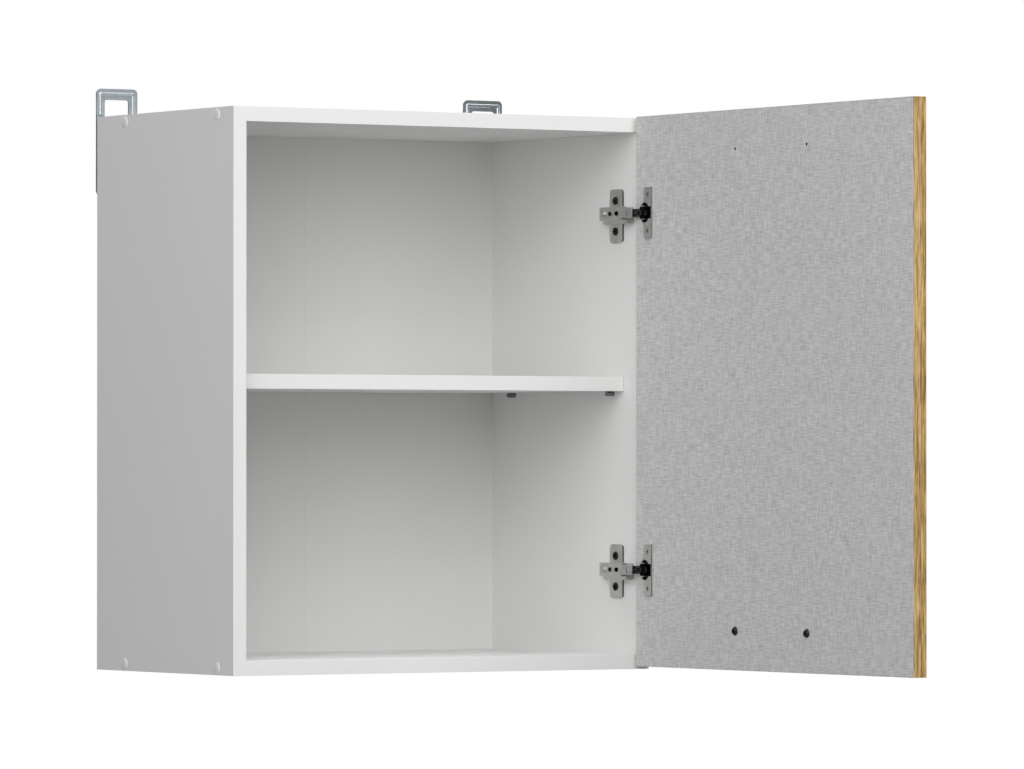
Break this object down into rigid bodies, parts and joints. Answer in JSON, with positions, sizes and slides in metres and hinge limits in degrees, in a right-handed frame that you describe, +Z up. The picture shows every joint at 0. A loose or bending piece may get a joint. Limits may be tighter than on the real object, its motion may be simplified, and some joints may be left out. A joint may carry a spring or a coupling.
{
  "type": "wall cabinet",
  "caption": "Hanging wall cabinet with a loose shelf, zinc hanger plates and an oak-edged door on concealed cup hinges, shown open.",
  "frame": {"origin": "middle of the back panel's rear face", "axes": "+X to the right as seen from the front, +Y towards the wall, +Z up; the door is open 90 degrees at the right and points along -Y"},
  "size_m": [0.5251, 0.7877, 0.602],
  "materials": {
    "white_board": "matt white melamine on chipboard",
    "white_hardboard": "white lacquered thin fibreboard",
    "white_band": "satin edge band",
    "cap_plastic": "satin",
    "beech": "raw turned beech",
    "zinc_steel": "zinc plated",
    "nickel_steel": "satin nickel plated",
    "dark_steel": "oiled dark steel",
    "grey_linen_board": "grey textile-look melamine on chipboard",
    "oak_decor": "satin oak decor",
    "brushed_handle": "brushed"
  },
  "bodies": {
    "cabinet": {"side_left": "white_board", "side_right": "white_board", "top_panel": "white_board", "bottom_panel": "white_board", "back_panel": "white_hardboard", "shelf": "white_board", "side_edge_bands": "white_band", "cross_edge_bands": "white_band", "shelf_edge_band": "white_band", "assembly_screws": "zinc_steel", "screw_caps": "cap_plastic", "dowels": "beech", "back_nails": "zinc_steel", "shelf_pins": "zinc_steel", "hanger_left": "zinc_steel", "hanger_right": "zinc_steel", "hanger_screws": "zinc_steel", "upper_hinge_plate": "nickel_steel", "lower_hinge_plate": "nickel_steel", "hinge_plate_screws": "dark_steel", "upper_hinge_arm": "nickel_steel", "lower_hinge_arm": "nickel_steel", "hinge_knuckles": "dark_steel", "hinge_clamp_screws": "nickel_steel", "hinge_adjust_screws": "dark_steel", "hinge_arm_pins": "dark_steel"},
    "upper_long_link": {"upper_long_link": "dark_steel"},
    "upper_short_link": {"upper_short_link": "dark_steel"},
    "lower_long_link": {"lower_long_link": "dark_steel"},
    "lower_short_link": {"lower_short_link": "dark_steel"},
    "door": {"door_panel": "grey_linen_board", "door_front_sheet": "oak_decor", "door_edge_bands": "oak_decor", "upper_hinge_cup": "nickel_steel", "lower_hinge_cup": "nickel_steel", "hinge_cup_screws": "nickel_steel", "hinge_cup_pins": "dark_steel", "handle": "brushed_handle", "handle_screws": "dark_steel"}
  },
  "joints": [
    {"name": "upper_long_pivot", "type": "hinge", "parent": "cabinet", "child": "upper_long_link", "pos_m": [0.22066, -0.28631, 0.187], "axis": [0, 0, 1], "range_deg": [-3, 37]},
    {"name": "door_swing", "type": "hinge", "parent": "upper_long_link", "child": "door", "pos_m": [0.23307, -0.2989, 0.187], "axis": [0, 0, 1], "range_deg": [-126, 7]},
    {"name": "upper_short_pivot", "type": "hinge", "parent": "cabinet", "child": "upper_short_link", "pos_m": [0.22774, -0.29451, 0.187], "axis": [0, 0, 1], "range_deg": [-4, 52]},
    {"name": "lower_long_pivot", "type": "hinge", "parent": "cabinet", "child": "lower_long_link", "pos_m": [0.22066, -0.28631, -0.183], "axis": [0, 0, 1], "range_deg": [-3, 37]},
    {"name": "lower_short_pivot", "type": "hinge", "parent": "cabinet", "child": "lower_short_link", "pos_m": [0.22774, -0.29451, -0.183], "axis": [0, 0, 1], "range_deg": [-4, 52]}
  ],
  "couplings": [
    {"joint": "upper_long_pivot", "follows": "door_swing", "ratio": -0.28571},
    {"joint": "lower_long_pivot", "follows": "door_swing", "ratio": -0.28571},
    {"joint": "upper_short_pivot", "follows": "door_swing", "ratio": -0.40476},
    {"joint": "lower_short_pivot", "follows": "door_swing", "ratio": -0.40476}
  ]
}
